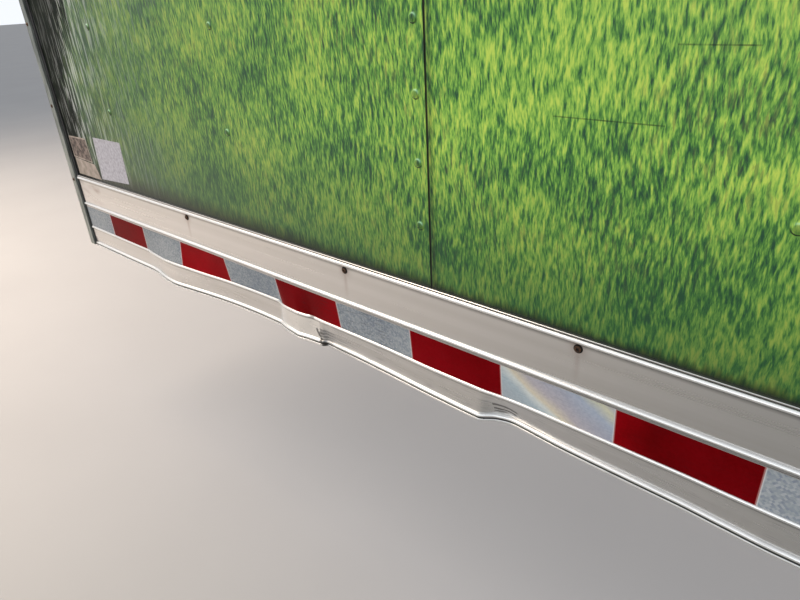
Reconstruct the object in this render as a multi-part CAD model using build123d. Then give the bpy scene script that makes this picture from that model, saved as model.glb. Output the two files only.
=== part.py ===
"""Left side wall of an enclosed cargo trailer, as one assembly of separate pieces.

Millimetres. X runs from the front of the wall (-) to the rear (+), the outside face looks along -Y,
and Z is up. The origin is on the underside of the sill tube, halfway along it and at the middle of
its width, where the wall stands on the trailer's floor frame.
"""
import os
from math import cos, floor, pi, sin

from build123d import *

# Whole wall
wall_length = 4267.0          # 14 ft box
wall_height = 2030.0          # underside of the sill tube to the top of the top tube

# Steel wall frame, square tube
tube_side = 38.0
tube_wall = 1.6
tube_corner = 3.0              # outer radius of the tube's corners
post_pitch = 400.0
first_post_from_front = 295.0  # middle of the first side post
frame_end_gap = 0.3            # end posts to the corner trim

# Skin sheets, riveted to the side posts, each one three bays wide
skin_thickness = 1.0
skin_edge_gap = 2.0            # open line between two sheets
bays_per_sheet = 3
seam_behind_post = 15.0        # a seam lies this far behind the middle of its post
skin_tuck = 52.0               # how far the skin reaches down behind the bottom rail

# Bottom rail, an aluminium extrusion, as heights on its outer face
rail_thickness = 3.0
bead_proud = 4.0               # how far a bead stands out of the face
low_bead_proud = 3.0
lip_height = 2.6
lip_proud = 1.5
top_bead_height = 7.0
upper_flat_height = 57.0
mid_bead_height = 6.0
tape_margin = 4.5              # bare strip between the middle bead and the tape
tape_height = 50.8
low_bead_height = 5.9
lower_flat_height = 35.0
bottom_bead_height = 6.2
foot_groove = 2.0              # groove between the bottom bead and the foot
foot_groove_proud = 1.2
foot_height = 2.5
foot_proud = 3.0
mid_bead_bottom = 0.0          # height of the middle bead's lower edge above the origin
bead_sides = 4                 # flats that make up one half-round bead

# Reflective tape in alternating pieces
tape_thickness = 0.4
tape_piece = 152.4
first_red_from_front = 155.0

# Corner trim, an aluminium angle with a rounded corner
corner_face = 26.0             # width of the face that shows from the side
corner_leg = 60.0              # width of the leg that faces forward or back
corner_thickness = 3.0
corner_radius = 6.5
corner_seal_width = 11.0       # black sealant between the corner trim and the rail
corner_seal_thickness = 2.5

# Roof edge trim
top_rail_drop = 62.0
top_rail_drip = 5.0            # drip edge along its foot
skin_top_tuck = 40.0

# Plywood lining, its panels meeting on the middles of posts
lining_thickness = 9.5
lining_gap = 3.0
lining_first_post = 2          # the first joint is on this post, then one every three bays
bays_per_lining = 3
lining_foot = 6.0              # clear of the floor
lining_head = 38.0             # clear of the roof

# Holes that fasten the wall to its neighbours
bolt_hole_radius = 5.5
sill_bolt_spread = 1600.0      # between the two holes of a pair
sill_bolt_inset = 1000.0       # middle of a pair from the middle of the wall
corner_bolt_spread = 1500.0

# Side marker lamps at the two upper corners
lamp_length = 98.0
lamp_height = 33.0
lamp_base = 5.0                # thickness of the foot of the lamp
lamp_lens = 13.0               # height of the lens on the foot
lamp_lens_inset = 5.0
lamp_lens_slope = 25.0         # degrees, how far the sides of the lens lean in
lamp_from_end = 190.0

# Dents along the lower edge of the rail, from the wall's front edge. The columns are the place,
# how far the low bead is pushed in, and how far the bottom lip is pushed in. Minus is pulled out.
dents = [
    (200.0, 0.0, 0.0),
    (305.0, 0.0, 0.5),
    (340.0, -4.0, -1.8),
    (370.0, -6.8, -7.2),
    (400.0, -8.8, -11.2),
    (425.0, -8.4, -12.8),
    (480.0, -4.2, -7.2),
    (520.0, -1.3, -2.3),
    (600.0, 6.2, 6.0),
    (650.0, 9.1, 9.0),
    (700.0, 11.2, 10.6),
    (750.0, 12.2, 10.6),
    (780.0, 3.8, 3.9),
    (812.0, 1.9, 0.0),
    (830.0, 3.9, 3.2),
    (848.0, 7.0, 5.2),
    (868.0, 6.2, 7.0),
    (874.0, 6.0, 12.4),
    (950.0, 6.2, 10.2),
    (1005.0, 5.8, 8.0),
    (1120.0, 2.6, 2.4),
    (1187.0, 2.8, 0.9),
    (1212.0, 4.8, 14.4),
    (1232.0, 6.2, 19.2),
    (1260.0, 6.7, 17.2),
    (1300.0, 6.1, 13.4),
    (1400.0, 4.4, 9.0),
    (1455.0, 3.6, 7.0),
    (1500.0, 1.8, 3.6),
    (1560.0, 0.4, 0.1),
    (1620.0, 0.0, 0.0),
]

# Places worked out from the sizes above
front_x = -wall_length / 2
rear_x = wall_length / 2
frame_outer_y = -tube_side / 2
frame_inner_y = tube_side / 2
skin_outer_y = frame_outer_y - skin_thickness
rail_face_y = skin_outer_y - rail_thickness
trim_face_y = rail_face_y - bead_proud
rail_front_x = front_x + corner_face + corner_seal_width
rail_rear_x = rear_x - corner_face - corner_seal_width
frame_front_x = front_x + corner_thickness + frame_end_gap
frame_rear_x = rear_x - corner_thickness - frame_end_gap

mid_bead_top = mid_bead_bottom + mid_bead_height
upper_flat_top = mid_bead_top + upper_flat_height
top_bead_top = upper_flat_top + top_bead_height
rail_top = top_bead_top + lip_height
tape_top = mid_bead_bottom - tape_margin
low_bead_top = tape_top - tape_height
low_bead_bottom = low_bead_top - low_bead_height
bottom_bead_top = low_bead_bottom - lower_flat_height
bottom_bead_bottom = bottom_bead_top - bottom_bead_height
foot_top = bottom_bead_bottom - foot_groove
rail_bottom = foot_top - foot_height

post_count = floor((wall_length - first_post_from_front - tube_side * 2) / post_pitch) + 1
post_centres = [front_x + first_post_from_front + post_pitch * i for i in range(post_count)]


def push_in(x, z):
    """How far a point on the rail is pushed in, from the dent table."""
    if z >= tape_top:
        return 0.0
    place = x - front_x
    bead_in = 0.0
    lip_in = 0.0
    for near, far in zip(dents, dents[1:]):
        if near[0] <= place <= far[0]:
            share = (place - near[0]) / (far[0] - near[0])
            bead_in = near[1] + share * (far[1] - near[1])
            lip_in = near[2] + share * (far[2] - near[2])
    if z >= low_bead_top:
        return bead_in * (tape_top - z) / (tape_top - low_bead_top)
    if z >= low_bead_bottom:
        return bead_in
    if z >= bottom_bead_top:
        return bead_in + (lip_in - bead_in) * (low_bead_bottom - z) / lower_flat_height
    return lip_in


def tape_cuts():
    """Places where one piece of tape ends and the next begins, from the rail's front end."""
    start = front_x + first_red_from_front
    count_before = int((start - rail_front_x) // tape_piece)
    count_after = int((rail_rear_x - start) // tape_piece)
    return [start + tape_piece * i for i in range(-count_before, count_after + 1)]


def stops_between(x_from, x_to):
    """Ends of a stretch and the dent rows and tape cuts inside it, in order along X."""
    dented_from = front_x + dents[0][0]
    dented_to = front_x + dents[-1][0]
    places = [front_x + row[0] for row in dents]
    places += [x for x in tape_cuts() if dented_from < x < dented_to]
    return [x_from] + sorted(x for x in places if x_from + 0.5 < x < x_to - 0.5) + [x_to]


def wall_between(near_top, near_low, far_low, far_top):
    """Faces of one panel between two sections: one flat face, or two triangles where it twists."""
    twist = (near_low.Y - near_top.Y) - (far_low.Y - far_top.Y)
    if abs(twist) < 1e-6:
        return [Face(Wire.make_polygon([near_top, near_low, far_low, far_top], close=True))]
    return [
        Face(Wire.make_polygon([near_top, near_low, far_low], close=True)),
        Face(Wire.make_polygon([near_top, far_low, far_top], close=True)),
    ]


def dented_strip(outline, x_from, x_to):
    """Carry a closed outline of (y, z) points along X, with each section pushed in by the dents."""
    sections = [
        [Vector(x, y + push_in(x, z), z) for y, z in outline] for x in stops_between(x_from, x_to)
    ]
    faces = [Face(Wire.make_polygon(section, close=True)) for section in (sections[0], sections[-1])]
    for near, far in zip(sections, sections[1:]):
        for i in range(len(outline)):
            j = (i + 1) % len(outline)
            # both sides of the plate are split along the same diagonal, top front to low rear
            top, low = (i, j) if outline[i][1] >= outline[j][1] else (j, i)
            faces += wall_between(near[top], near[low], far[low], far[top])
    return Solid(Shell(faces))


def bead(top, bottom, proud):
    """Outline points of one half-round bead on the rail's face, from its upper to its lower edge."""
    middle = (top + bottom) / 2
    half = (top - bottom) / 2
    angles = [pi * i / bead_sides for i in range(bead_sides + 1)]
    return [(rail_face_y - proud * sin(a), middle + half * cos(a)) for a in angles]


def box_between(x_from, x_to, y_from, y_to, z_from, z_to):
    """Box from its lowest to its highest corner."""
    solid = Box(x_to - x_from, y_to - y_from, z_to - z_from)
    return Pos((x_from + x_to) / 2, (y_from + y_to) / 2, (z_from + z_to) / 2) * solid


def bottom_rail():
    """Extruded rail with four beads, a seat for the tape and a dented lower flange."""
    outline = [
        (rail_face_y - lip_proud, rail_top),
        (rail_face_y - lip_proud, top_bead_top),
    ]
    outline += bead(top_bead_top, upper_flat_top, bead_proud)
    outline += bead(mid_bead_top, mid_bead_bottom, bead_proud)
    outline += [(rail_face_y, tape_top)]
    outline += bead(low_bead_top, low_bead_bottom, low_bead_proud)
    outline += bead(bottom_bead_top, bottom_bead_bottom, bead_proud)
    outline += [
        (rail_face_y - foot_groove_proud, bottom_bead_bottom),
        (rail_face_y - foot_groove_proud, foot_top),
        (rail_face_y - foot_proud, foot_top),
        (rail_face_y - foot_proud, rail_bottom),
    ]
    bends = (rail_bottom, bottom_bead_top, low_bead_bottom, low_bead_top, tape_top, rail_top)
    outline += [(skin_outer_y, z) for z in bends]
    return dented_strip(outline, rail_front_x, rail_rear_x)


def tape_pieces(want_red):
    """Tape of one colour, cut to the rail's length."""
    outline = [
        (rail_face_y - tape_thickness, tape_top),
        (rail_face_y - tape_thickness, low_bead_top),
        (rail_face_y, low_bead_top),
        (rail_face_y, tape_top),
    ]
    edges = [rail_front_x] + tape_cuts() + [rail_rear_x]
    red_start = front_x + first_red_from_front
    pieces = []
    for x_from, x_to in zip(edges, edges[1:]):
        is_red = round((x_from - red_start) / tape_piece) % 2 == 0 and x_from > rail_front_x
        if is_red == want_red and x_to - x_from > 1.0:
            pieces.append(dented_strip(outline, x_from, x_to))
    return Compound(pieces)


def square_tube(length):
    """Square steel tube along Z from the origin up."""
    section = RectangleRounded(tube_side, tube_side, tube_corner)
    section -= Rectangle(tube_side - 2 * tube_wall, tube_side - 2 * tube_wall)
    return extrude(section, length)


def level_tube(z_from):
    """Tube along the whole wall frame, its underside at the given height."""
    length = frame_rear_x - frame_front_x
    tube = Rot(0, 90, 0) * square_tube(length)
    return Pos(frame_front_x, 0, z_from + tube_side / 2) * tube


def sill_tube():
    """Lower tube with the holes that bolt the wall down."""
    tube = level_tube(0.0)
    for middle in (-sill_bolt_inset, sill_bolt_inset):
        for side in (-1, 1):
            drill = Cylinder(bolt_hole_radius, tube_side * 3)
            tube -= Pos(middle + side * sill_bolt_spread / 2, 0, tube_side / 2) * drill
    return tube


def side_post(x_middle):
    """Upright tube between the sill tube and the top tube."""
    return Pos(x_middle, 0, tube_side) * square_tube(wall_height - 2 * tube_side)


def corner_trim(at_front):
    """Aluminium corner with a rounded edge, a face that hems back to the skin and a long end leg."""
    height = wall_height - rail_bottom
    stand_off = skin_outer_y - trim_face_y
    outer = Rectangle(corner_face, corner_leg, align=(Align.MIN, Align.MIN))
    rounded = outer.vertices().sort_by(lambda v: v.X + v.Y)[0]
    outer = fillet(rounded, corner_radius)
    behind_face = Pos(corner_thickness, corner_thickness) * Rectangle(
        corner_face - 2 * corner_thickness, corner_leg, align=(Align.MIN, Align.MIN)
    )
    behind_hem = Pos(corner_thickness, stand_off) * Rectangle(
        corner_face, corner_leg, align=(Align.MIN, Align.MIN)
    )
    trim = extrude(outer - behind_face - behind_hem, height)
    trim = Pos(front_x, trim_face_y, rail_bottom) * trim
    for side in (-1, 1):
        drill = Rot(0, 90, 0) * Cylinder(bolt_hole_radius, corner_thickness * 4)
        hole_z = wall_height / 2 + side * corner_bolt_spread / 2
        trim -= Pos(front_x, 0, hole_z) * drill
    if at_front:
        return trim
    return mirror(trim, about=Plane.YZ)


def corner_seal(at_front):
    """Strip of sealant between the corner trim and the ends of the rails."""
    strip = box_between(
        front_x + corner_face,
        rail_front_x,
        skin_outer_y - corner_seal_thickness,
        skin_outer_y,
        rail_bottom,
        wall_height,
    )
    if at_front:
        return strip
    return mirror(strip, about=Plane.YZ)


def top_rail():
    """Roof edge trim: a face over the skin's top edge, a rounded corner and a seat for the roof."""
    length = rail_rear_x - rail_front_x
    seat_width = frame_inner_y - rail_face_y
    face = Rectangle(seat_width, top_rail_drop + rail_thickness, align=(Align.MIN, Align.MAX))
    high_corner = face.vertices().sort_by(lambda v: v.X - v.Y)[0]
    face = fillet(high_corner, corner_radius)
    hollow = Pos(rail_thickness, -rail_thickness) * Rectangle(
        seat_width, top_rail_drop * 2, align=(Align.MIN, Align.MAX)
    )
    drip = Pos(0, -top_rail_drop - rail_thickness) * Rectangle(
        bead_proud, top_rail_drip, align=(Align.MAX, Align.MIN)
    )
    section = face - hollow + drip
    rail = extrude(Plane.YZ * section, length)
    return Pos(rail_front_x, rail_face_y, wall_height + rail_thickness) * rail


def skin_sheets():
    """Flat sheets from the front edge to the rear edge, meeting behind every third post."""
    seams = [
        post_centres[i] + seam_behind_post
        for i in range(bays_per_sheet - 1, post_count, bays_per_sheet)
    ]
    edges = [frame_front_x] + seams + [frame_rear_x]
    z_from = rail_top - skin_tuck
    z_to = wall_height - top_rail_drop + skin_top_tuck
    sheets = []
    for index in range(len(edges) - 1):
        x_from = edges[index] + (skin_edge_gap / 2 if index > 0 else 0.0)
        x_to = edges[index + 1] - (skin_edge_gap / 2 if index < len(edges) - 2 else 0.0)
        sheets.append(box_between(x_from, x_to, skin_outer_y, frame_outer_y, z_from, z_to))
    return sheets


def lining_panels():
    """Plywood panels on the inside of the wall frame."""
    joints = post_centres[lining_first_post - 1 :: bays_per_lining]
    edges = [frame_front_x] + joints + [frame_rear_x]
    inside_y = frame_inner_y + lining_thickness
    top_z = wall_height - lining_head
    half_gap = lining_gap / 2
    return [
        box_between(x_from + half_gap, x_to - half_gap, frame_inner_y, inside_y, lining_foot, top_z)
        for x_from, x_to in zip(edges, edges[1:])
    ]


def marker_lamp(x_middle):
    """Long rounded lamp on the roof edge trim, its lens leaning in from its foot."""
    foot = extrude(RectangleRounded(lamp_length, lamp_height, lamp_height / 2 - 0.5), lamp_base)
    lens_height = lamp_height - 2 * lamp_lens_inset
    lens_plan = RectangleRounded(
        lamp_length - 2 * lamp_lens_inset, lens_height, lens_height / 2 - 0.5
    )
    lens = extrude(lens_plan, lamp_lens, taper=lamp_lens_slope)
    lamp_z = wall_height + corner_thickness - top_rail_drop / 2
    return Pos(x_middle, rail_face_y, lamp_z) * Rot(90, 0, 0) * (foot + Pos(0, 0, lamp_base) * lens)


pieces = {
    "bottom_rail": bottom_rail(),
    "top_rail": top_rail(),
    "sill_tube": sill_tube(),
    "top_tube": level_tube(wall_height - tube_side),
    "front_end_post": side_post(frame_front_x + tube_side / 2),
    "rear_end_post": side_post(frame_rear_x - tube_side / 2),
    "front_corner_trim": corner_trim(True),
    "rear_corner_trim": corner_trim(False),
    "front_corner_seal": corner_seal(True),
    "rear_corner_seal": corner_seal(False),
    "tape_red": tape_pieces(True),
    "tape_white": tape_pieces(False),
    "marker_lamp_front": marker_lamp(front_x + lamp_from_end),
    "marker_lamp_rear": marker_lamp(rear_x - lamp_from_end),
}
for number, x_middle in enumerate(post_centres, start=1):
    pieces[f"side_post_{number:02d}"] = side_post(x_middle)
for number, sheet in enumerate(skin_sheets(), start=1):
    pieces[f"skin_sheet_{number}"] = sheet
for number, panel in enumerate(lining_panels(), start=1):
    pieces[f"lining_panel_{number}"] = panel

os.makedirs("parts", exist_ok=True)
for name, piece in pieces.items():
    export_step(piece, f"parts/{name}.step")
print(len(pieces), "pieces,", post_count, "side posts, rail bottom at", round(rail_bottom, 1))
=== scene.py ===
"""Looks of the left side wall of an enclosed cargo trailer, laid out as an add-on and run as a script."""

import math

import bmesh
import bpy
from bpy.props import FloatProperty, FloatVectorProperty, PointerProperty
from mathutils import Matrix, Vector, noise


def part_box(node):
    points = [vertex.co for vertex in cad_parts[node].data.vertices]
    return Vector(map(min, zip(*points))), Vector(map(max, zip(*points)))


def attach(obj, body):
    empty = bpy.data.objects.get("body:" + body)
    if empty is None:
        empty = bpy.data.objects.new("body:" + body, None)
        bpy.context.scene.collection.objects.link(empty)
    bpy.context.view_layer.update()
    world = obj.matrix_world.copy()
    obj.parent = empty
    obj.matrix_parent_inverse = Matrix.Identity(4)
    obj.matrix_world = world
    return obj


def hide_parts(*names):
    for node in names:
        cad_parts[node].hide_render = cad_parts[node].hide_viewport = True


bl_info = {
    "name": "Cargo trailer side wall",
    "version": (1, 0, 0),
    "blender": (4, 5, 0),
    "location": "View3D > Sidebar > Side wall",
    "description": "Dresses the side wall of an enclosed cargo trailer",
    "category": "Object",
}

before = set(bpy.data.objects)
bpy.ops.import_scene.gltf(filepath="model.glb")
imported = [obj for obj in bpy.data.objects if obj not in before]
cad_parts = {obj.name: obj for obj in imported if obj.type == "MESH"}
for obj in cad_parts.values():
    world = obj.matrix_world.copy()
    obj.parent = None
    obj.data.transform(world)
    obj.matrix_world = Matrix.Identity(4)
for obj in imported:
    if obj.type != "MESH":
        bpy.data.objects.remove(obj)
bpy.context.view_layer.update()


def named(start):
    """Names of the CAD nodes that start so, in order."""
    return [name for name in sorted(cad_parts) if name.startswith(start)]


MM = 0.001
TRIM_LOW, TRIM_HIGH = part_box("front_corner_trim")
FRONT_X = TRIM_LOW.x
RAIL_LOW, RAIL_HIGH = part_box("bottom_rail")
SKIN_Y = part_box("skin_sheet_1")[0].y
LINING_LOW, LINING_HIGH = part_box("lining_panel_1")
POST_XS = [(low.x + high.x) / 2 for low, high in map(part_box, named("side_post"))]
SEAM_XS = [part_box(name)[1].x for name in named("skin_sheet")[:-1]]
LINING_JOINT_XS = [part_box(name)[1].x for name in named("lining_panel")[:-1]]
TAPE_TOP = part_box("tape_red")[1].z


def at(place):
    """X of a place that is given in millimetres from the wall's front edge."""
    return FRONT_X + place * MM


def linear(code):
    """An sRGB hex value as a linear colour with alpha."""
    channels = [int(code[i : i + 2], 16) / 255 for i in (1, 3, 5)]
    return tuple(c / 12.92 if c <= 0.04045 else ((c + 0.055) / 1.055) ** 2.4 for c in channels) + (1.0,)


def as_colour(shade):
    """A linear colour from a hex value, from a level of grey, or as it is."""
    if isinstance(shade, str):
        return linear(shade)
    return (shade, shade, shade, 1.0) if isinstance(shade, float) else shade


def length(name, description, millimetres):
    """A size that a user can change, in metres."""
    return FloatProperty(name=name, description=description, default=millimetres * MM, unit="LENGTH")


def colour(name, description, code):
    """A colour that a user can change, from its sRGB hex value."""
    return FloatVectorProperty(
        name=name, description=description, default=linear(code), size=4, subtype="COLOR", min=0.0, max=1.0
    )


class RailSizes(bpy.types.PropertyGroup):
    """Outer face of the bottom rail, from the top down."""

    thickness: length("Thickness", "Thickness of the rail's plate", 3.0)
    lip_height: length("Lip height", "Height of the lip above the top bead", 2.6)
    lip_proud: length("Lip proud", "How far the lip stands out of the face", 1.5)
    bead_proud: length("Bead proud", "How far a bead stands out of the face", 4.0)
    low_bead_proud: length("Low bead proud", "How far the bead under the tape stands out", 3.0)
    top_bead: length("Top bead", "Height of the top bead", 7.0)
    upper_flat: length("Upper flat", "Flat between the top and the middle bead", 57.0)
    mid_bead: length("Middle bead", "Height of the middle bead", 6.0)
    tape_height: length("Tape height", "Height of the reflective tape", 50.8)
    low_bead: length("Low bead", "Height of the bead under the tape", 5.9)
    lower_flat: length("Lower flat", "Height of the flat under the low bead", 35.0)
    bottom_bead: length("Bottom bead", "Height of the bead at the bottom", 6.2)
    foot_groove: length("Foot groove", "Groove between the bottom bead and the foot", 2.0)
    foot_groove_proud: length("Groove proud", "How far the groove's floor stands out of the face", 1.2)
    foot_proud: length("Foot proud", "How far the foot stands out of the face", 3.0)
    metal: colour("Metal", "Mill finish aluminium", "#d5d4d3")
    dull: colour("Dull metal", "Oxidised streaks in the aluminium", "#cccbc9")
    # painted highlight: a brighter metal laid on the upper part of each bead, on the foot's edge and on the
    # facets before the tear, and pale print on the rivets' upper right
    crown: colour("Crown", "Aluminium rubbed bright on the crowns of the beads", "#f3f3f1")
    # painted shade: a dark grey laid on the lower part of each bead, in a thin strip under it and in the
    # groove over the foot
    grime: colour("Grime", "Grey film that stays under the beads", "#4b4a49")
    rust: colour("Rust", "Stain that runs from the screws", "#7b5233")
    # also the colour of the painted shade and shadow in the dents, the folds and the tear
    dirt: colour("Dirt", "Road dirt and rubber scuffs", "#2a231d")


class TapeSizes(bpy.types.PropertyGroup):
    """Reflective tape in alternating pieces."""

    piece: length("Piece", "Length of one red or white piece", 152.4)
    first_red: length("First red", "Front edge of the first red piece, from the wall's front", 155.0)
    thickness: length("Thickness", "Thickness of the film", 0.4)
    cell: length("Cell", "Size of one prism cell, drawn coarse enough to show", 2.6)
    red: colour("Red", "Main red", "#85020b")
    red_deep: colour("Deep red", "Red where little light comes back", "#700105")
    red_bright: colour("Bright red", "Red cells that face the light", "#950613")
    white: colour("White", "Main silver white", "#b3bbbf")
    white_deep: colour("Shaded white", "White where little light comes back", "#9aa3b0")
    white_bright: colour("Bright white", "White cells that face the light", "#c8ccd0")


class FastenerSizes(bpy.types.PropertyGroup):
    """Rivets in the skin, and screws in the rails, the corner trim and the lining."""

    rivet_radius: length("Rivet radius", "Radius of a rivet's head under the wrap", 5.4)
    rivet_height: length("Rivet height", "Height of a rivet's head", 2.8)
    seam_pitch: length("Seam pitch", "Distance between rivets along a seam", 81.0)
    post_pitch: length("Post pitch", "Distance between rivets on a plain post", 158.0)
    lowest_rivet: length("Lowest rivet", "Height of the lowest rivet of a seam", 157.5)
    lowest_post_rivet: length("Lowest post rivet", "Height of the lowest rivet of a plain post", 236.5)
    screw_radius: length("Screw radius", "Radius of a screw's head", 4.2)
    screw_height: length("Screw height", "Height of a screw's head", 2.6)
    screw_pitch: length("Screw pitch", "Distance between screws along the rails", 407.0)
    screw_level: length("Screw level", "Height of the screws in the bottom rail", 56.5)
    trim_pitch: length("Trim pitch", "Distance between screws in the corner trim", 171.0)
    lining_pitch: length("Lining pitch", "Distance between screws in the lining", 305.0)


class WrapLook(bpy.types.PropertyGroup):
    """Printed wrap, blades of a lawn in several greens."""

    blade_width: length("Blade width", "Width of one printed blade", 4.6)
    blade_length: length("Blade length", "Length of one printed blade", 27.0)
    deep: colour("Deep", "Darkest printed green", "#275238")
    shade: colour("Shade", "Shaded blades", "#4f873c")
    body: colour("Body", "Main green", "#78ad49")
    bright: colour("Bright", "Sunny blades", "#9bc853")
    tip: colour("Tip", "Yellow green tips", "#c6de5e")


class StageLook(bpy.types.PropertyGroup):
    """Floor, lights and camera."""

    floor_drop: length("Floor drop", "Floor below the foot of the rail", 450.0)
    floor: colour("Floor", "Plain pale floor", "#949393")
    lens: length("Lens", "Focal length of the camera", 27.384)


GROUPS = {
    "side_wall_rail": RailSizes,
    "side_wall_tape": TapeSizes,
    "side_wall_fasteners": FastenerSizes,
    "side_wall_wrap": WrapLook,
    "side_wall_stage": StageLook,
}

# Places are in millimetres from the wall's front edge, and heights in millimetres above the seat.

# Measured places of the screws in the front part of the bottom rail
FIRST_RAIL_SCREWS = (509.0, 945.0, 1323.0)

# Measured height of a screw in the corner trim
TRIM_SCREW_LEVEL = 401.5

# Measured sideways offsets of the first rivet columns from the middles of their posts
RIVET_OFFSETS = (-9.0, 0.0, -0.5, 6.0)

# Sides of the round heads of the rivets and the small screws
SMALL_SIDES = 20

# Dents along the lower edge of the rail: place, how far the low bead is pushed in, and how far the
# bottom lip is pushed in. Minus is pulled out.
DENTS = (
    (200.0, 0.0, 0.0),
    (305.0, 0.0, 0.5),
    (340.0, -4.0, -1.8),
    (370.0, -6.8, -7.2),
    (400.0, -8.8, -11.2),
    (425.0, -8.4, -12.8),
    (480.0, -4.2, -7.2),
    (520.0, -1.3, -2.3),
    (600.0, 6.2, 6.0),
    (650.0, 9.1, 9.0),
    (700.0, 11.2, 10.6),
    (750.0, 12.2, 10.6),
    (780.0, 3.8, 3.9),
    (812.0, 1.9, 0.0),
    (830.0, 3.9, 3.2),
    (848.0, 7.0, 5.2),
    (868.0, 6.2, 7.0),
    (874.0, 6.0, 12.4),
    (950.0, 6.2, 10.2),
    (1005.0, 5.8, 8.0),
    (1120.0, 2.6, 2.4),
    (1187.0, 2.8, 0.9),
    (1212.0, 4.8, 14.4),
    (1232.0, 6.2, 19.2),
    (1260.0, 6.7, 17.2),
    (1300.0, 6.1, 13.4),
    (1400.0, 4.4, 9.0),
    (1455.0, 3.6, 7.0),
    (1500.0, 1.8, 3.6),
    (1560.0, 0.4, 0.1),
    (1620.0, 0.0, 0.0),
)

# Places of the dents where the metal is folded to a crease instead of curved
CREASES = (750.0, 812.0, 830.0, 868.0, 874.0)

# Stretches with small marks, which need a finer mesh
MARKED = ((848.0, 882.0), (1192.0, 1236.0))

# Stretch of facets before the tear, given a painted highlight
FACETS = (757.0, 862.0)

# Soft dark marks on the rail: place, height, half width, half height and strength. The first two are sealant
# at the front corner, and the rest are painted shade and shadow in the dents and the tear at the two kinks.
DARK_SPOTS = (
    (37, -98, 12, 16, 0.95),
    (42, -42, 4, 5, 0.8),
    (846, -58, 9, 5, 0.7),
    (864, -85, 9, 5, 0.8),
    (870, -103, 6, 8, 1.0),
    (1196, -90, 13, 5, 0.45),
    (1216, -89, 12, 4, 0.75),
)

# Rubber scuffs as arcs: first and last place, height of the crest, and how far the tail drops
SCUFF_ARCS = ((1206, 1244, -77, 6), (1207, 1240, -84, 4))

# Folds of the lower flat, darkened a little with painted shade
FOLDS = (760, 806)

# Brightness that each film has weathered to, by place over the first 1.6 m from the front
TONE_REACH = 1.6
RED_TONES = (
    (0.2, 0.58), (0.3, 0.95), (0.38, 0.92), (0.49, 0.68), (0.53, 0.7), (0.57, 1.0), (0.68, 0.8),
    (0.75, 0.76), (0.862, 1.1), (0.885, 0.66), (1.0, 0.6),
)
WHITE_TONES = (
    (0.1, 0.55), (0.2, 0.5), (0.29, 0.54), (0.4, 0.6), (0.5, 0.63), (0.6, 0.62), (0.7, 0.66),
    (0.8, 0.88), (0.95, 0.74),
)


def smooth_slopes(places, values):
    """Slopes of a curve through the points that never overshoots them."""
    widths = [b - a for a, b in zip(places, places[1:])]
    rises = [(b - a) / w for a, b, w in zip(values, values[1:], widths)]
    slopes = [0.0]
    for i in range(1, len(rises)):
        if rises[i - 1] * rises[i] <= 0.0:
            slopes.append(0.0)
            continue
        near = 2 * widths[i] + widths[i - 1]
        far = widths[i] + 2 * widths[i - 1]
        slopes.append((near + far) / (near / rises[i - 1] + far / rises[i]))
    return slopes + [0.0]


DENT_PLACES, *DENT_COLUMNS = zip(*DENTS)
DENT_SLOPES = [smooth_slopes(DENT_PLACES, column) for column in DENT_COLUMNS]


def dent_depths(x):
    """How far the low bead and the bottom lip are pushed in at x, in metres."""
    place = (x - FRONT_X) / MM
    if not DENT_PLACES[0] < place < DENT_PLACES[-1]:
        return 0.0, 0.0
    i = max(k for k in range(len(DENTS) - 1) if DENT_PLACES[k] <= place)
    width = DENT_PLACES[i + 1] - DENT_PLACES[i]
    t = (place - DENT_PLACES[i]) / width
    found = []
    for column, slopes in zip(DENT_COLUMNS, DENT_SLOPES):
        straight = (column[i + 1] - column[i]) / width
        leaving = straight if DENT_PLACES[i] in CREASES else slopes[i]
        arriving = straight if DENT_PLACES[i + 1] in CREASES else slopes[i + 1]
        start = (1 + 2 * t) * (1 - t) ** 2 * column[i] + t * (1 - t) ** 2 * width * leaving
        end = t * t * (3 - 2 * t) * column[i + 1] + t * t * (t - 1) * width * arriving
        found.append((start + end) * MM)
    return tuple(found)


def push_in(x, z, sizes):
    """How far a point on the rail's plate is pushed in by the dents."""
    tape_foot = TAPE_TOP - sizes.tape_height
    flat_top = tape_foot - sizes.low_bead
    if z >= TAPE_TOP:
        return 0.0
    bead_in, lip_in = dent_depths(x)
    if z >= tape_foot:
        return bead_in * (TAPE_TOP - z) / sizes.tape_height
    share = min(1.0, max(0.0, (flat_top - z) / sizes.lower_flat))
    return bead_in + (lip_in - bead_in) * share


def steps(start, end, longest):
    """Places from start to end, evenly spaced and no further apart than the longest step."""
    count = max(1, math.ceil(abs(end - start) / longest))
    return [start + (end - start) * i / count for i in range(count + 1)]


def up_to(start, end, pitch):
    """Places from start at a fixed pitch, all below the end."""
    places = [start]
    while places[-1] + pitch < end:
        places.append(places[-1] + pitch)
    return places


def rail_screw_xs():
    """Places of all the screws along the bottom rail."""
    *first, last = [at(place) for place in FIRST_RAIL_SCREWS]
    return first + up_to(last, RAIL_HIGH.x - 0.05, bpy.context.scene.side_wall_fasteners.screw_pitch)


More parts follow.
